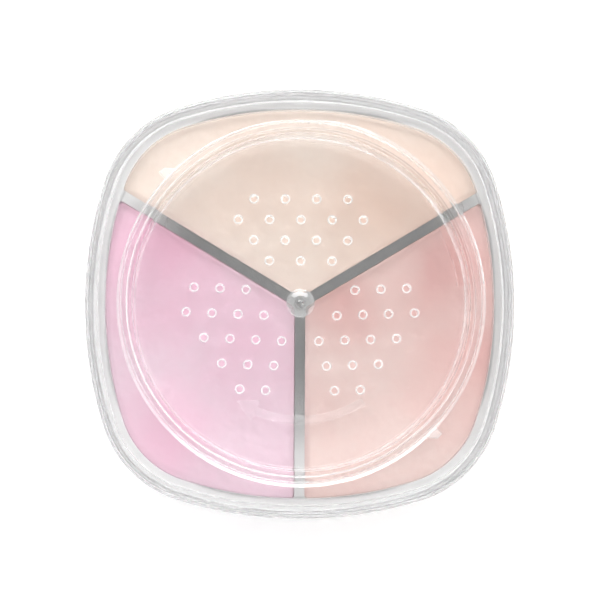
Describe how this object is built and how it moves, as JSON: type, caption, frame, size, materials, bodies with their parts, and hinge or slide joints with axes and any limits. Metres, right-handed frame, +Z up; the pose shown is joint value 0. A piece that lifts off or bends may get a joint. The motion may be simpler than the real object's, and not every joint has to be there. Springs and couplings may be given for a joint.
{
  "type": "loose powder jar",
  "caption": "Soft-square clear jar for loose face powder in separate shades, with a fixed perforated cup and a turning sifter dial inside a threaded round neck.",
  "frame": {"origin": "centre of the underside of the outer case, in the plane that the jar stands on", "axes": "+Z up along the axis of the neck and the dial; the divider arms run towards 31, 149 and 270 degrees about +Z from +X, with beige round 90, lilac round 210 and coral round 330 degrees"},
  "size_m": [0.076, 0.076, 0.0255],
  "materials": {
    "clear_case": "clear, polished",
    "clear_tray": "clear, polished",
    "clear_neck": "clear, polished",
    "clear_sifter": "clear, polished",
    "clear_pin": "clear, polished",
    "beige_powder": "fine loose powder",
    "lilac_powder": "fine loose powder",
    "coral_powder": "fine loose powder"
  },
  "bodies": {
    "jar": {"outer_case": "clear_case", "powder_tray": "clear_tray", "powder_beige": "beige_powder", "powder_lilac": "lilac_powder", "powder_coral": "coral_powder", "neck_shoulder": "clear_neck", "sifter_cup": "clear_sifter", "hub_pin": "clear_pin"},
    "dial": {"sifter_dial": "clear_sifter"}
  },
  "joints": [
    {"name": "dial_turn", "type": "hinge", "parent": "jar", "child": "dial", "pos_m": [0, 0, 0.0166], "axis": [0, 0, 1], "range_deg": [-12, 0]}
  ]
}
